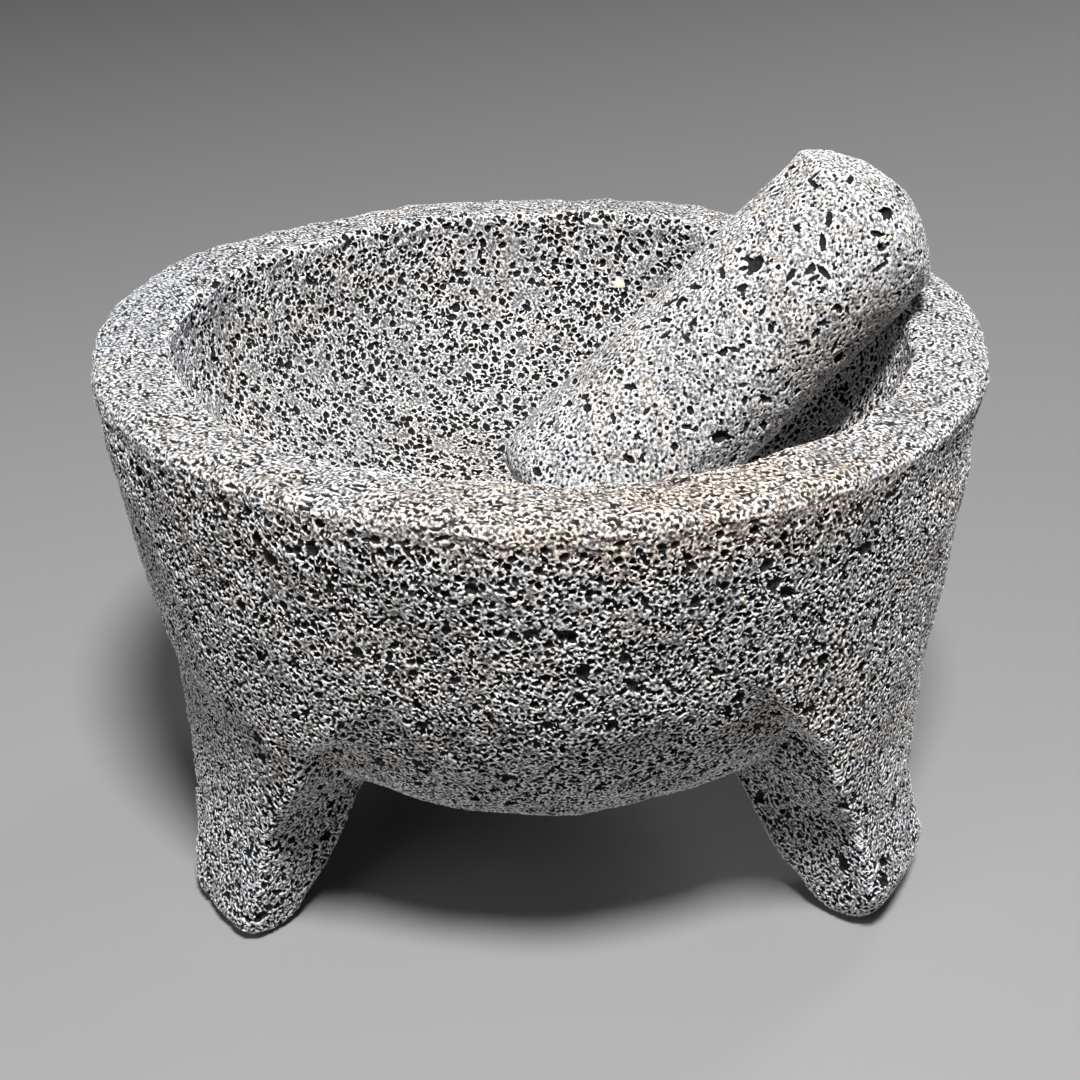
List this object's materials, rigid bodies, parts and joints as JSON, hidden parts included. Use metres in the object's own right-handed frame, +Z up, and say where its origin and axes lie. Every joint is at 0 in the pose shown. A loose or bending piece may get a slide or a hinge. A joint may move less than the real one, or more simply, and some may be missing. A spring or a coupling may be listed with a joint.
{
  "type": "molcajete",
  "caption": "Carved basalt mortar on three legs with a separate stone pestle, for grinding spices and salsas by hand.",
  "frame": {"origin": "on the ground under the middle of the bowl's rim, where the feet stand", "axes": "+Z up along the bowl's axis; the pestle leans towards +X; the gap between the front legs faces -Y"},
  "size_m": [0.2, 0.2, 0.1647],
  "materials": {
    "mortar_basalt": "matte",
    "tejolote_basalt": "matte"
  },
  "bodies": {
    "mortar": {"mortar": "mortar_basalt"},
    "tejolote": {"tejolote": "tejolote_basalt"}
  },
  "joints": [
    {"name": "tejolote_lift", "type": "slide", "parent": "mortar", "child": "tejolote", "axis": [0, 0, 1], "range_m": [0, 0.075]}
  ]
}
